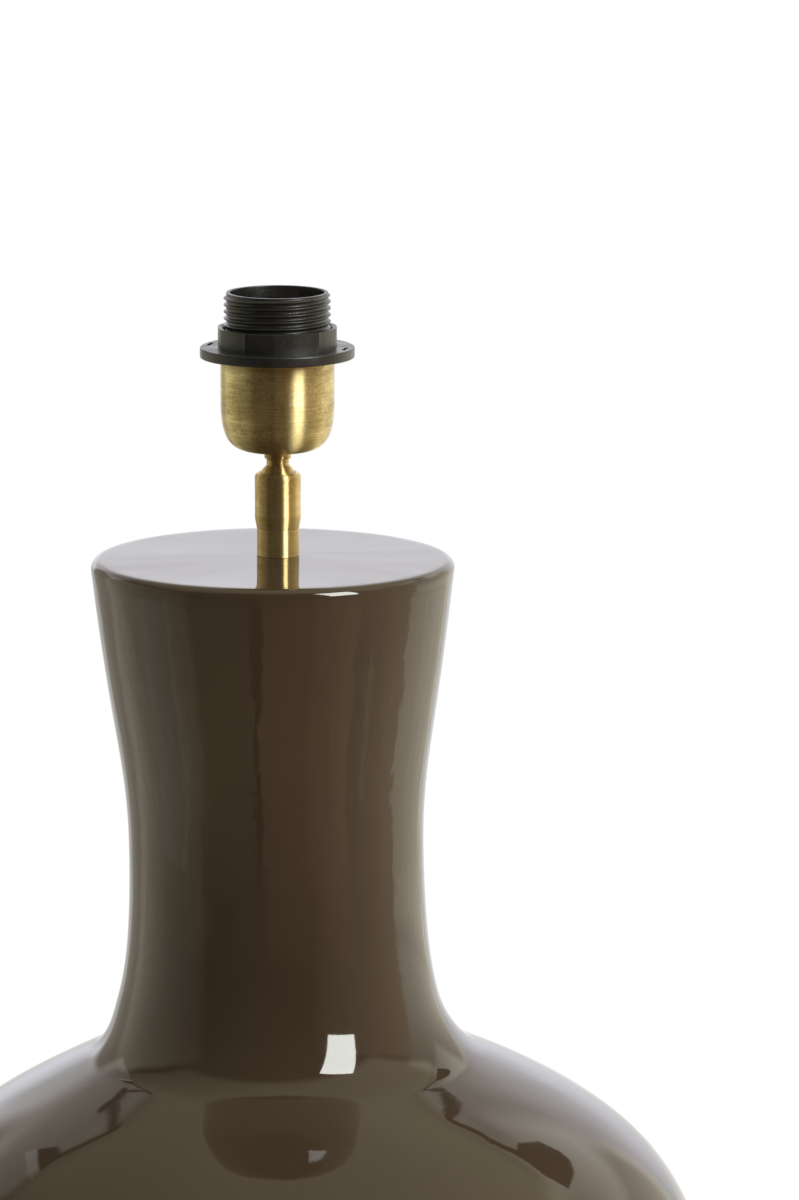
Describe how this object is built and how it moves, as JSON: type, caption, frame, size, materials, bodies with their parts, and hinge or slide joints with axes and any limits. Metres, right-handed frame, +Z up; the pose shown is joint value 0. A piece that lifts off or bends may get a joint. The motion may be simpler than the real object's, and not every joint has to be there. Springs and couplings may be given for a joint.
{
  "type": "table lamp base",
  "caption": "Bottle-shaped glazed ceramic table lamp base with a brass ball joint, a brass cup holder, a threaded black barrel and a shade ring.",
  "frame": {"origin": "centre of the felt pad's underside, on the surface that the lamp stands on", "axes": "+Z up along the lamp's axis, -Y towards the side that the picture shows, +X to the right in the picture"},
  "size_m": [0.3196, 0.3196, 0.4996],
  "materials": {
    "glaze": "gloss taupe-brown glaze",
    "turned_brass": "finely turned",
    "brushed_brass": "brushed round",
    "contact_brass": "bright rolled",
    "black_plastic": "satin moulded",
    "zinc_steel": "zinc plated",
    "grommet_rubber": "moulded",
    "felt": "pressed felt",
    "nylon": "moulded",
    "porcelain": "pressed, unglazed"
  },
  "bodies": {
    "vase": {"vase_body": "glaze", "cord_grommet": "grommet_rubber", "felt_pad": "felt", "threaded_tube": "zinc_steel", "bottom_plate": "zinc_steel", "lock_washer": "zinc_steel", "hex_nut": "zinc_steel", "joint_base": "turned_brass", "joint_housing": "turned_brass", "spring_washer": "zinc_steel"},
    "swivel": {"friction_seat": "nylon"},
    "holder": {"ball_stem": "turned_brass", "brass_cup": "brushed_brass", "entry_bush": "zinc_steel", "grub_screw": "zinc_steel", "holder_base": "black_plastic", "terminal_screw_1": "zinc_steel", "terminal_screw_2": "zinc_steel", "barrel": "black_plastic", "shell_sleeve": "black_plastic", "contact_insulator": "porcelain", "side_contact": "contact_brass", "screw_shell": "contact_brass"},
    "ring": {"shade_ring": "black_plastic"},
    "contact": {"centre_contact": "contact_brass"}
  },
  "joints": [
    {"name": "joint_swivel", "type": "hinge", "parent": "vase", "child": "swivel", "pos_m": [0, 0, 0.4291], "axis": [0, 0, 1], "range_deg": [-170, 170]},
    {"name": "joint_tilt", "type": "hinge", "parent": "swivel", "child": "holder", "pos_m": [0, 0, 0.4291], "axis": [1, 0, 0], "range_deg": [-25, 25]},
    {"name": "shade_ring_lift", "type": "slide", "parent": "holder", "child": "ring", "axis": [0, 0, 1], "range_m": [0, 0.024]},
    {"name": "contact_press", "type": "hinge", "parent": "holder", "child": "contact", "pos_m": [-0.00803, 0, 0.4687], "axis": [0, 1, 0], "range_deg": [0, 8], "stiffness_Nm_per_rad": 0.05}
  ]
}
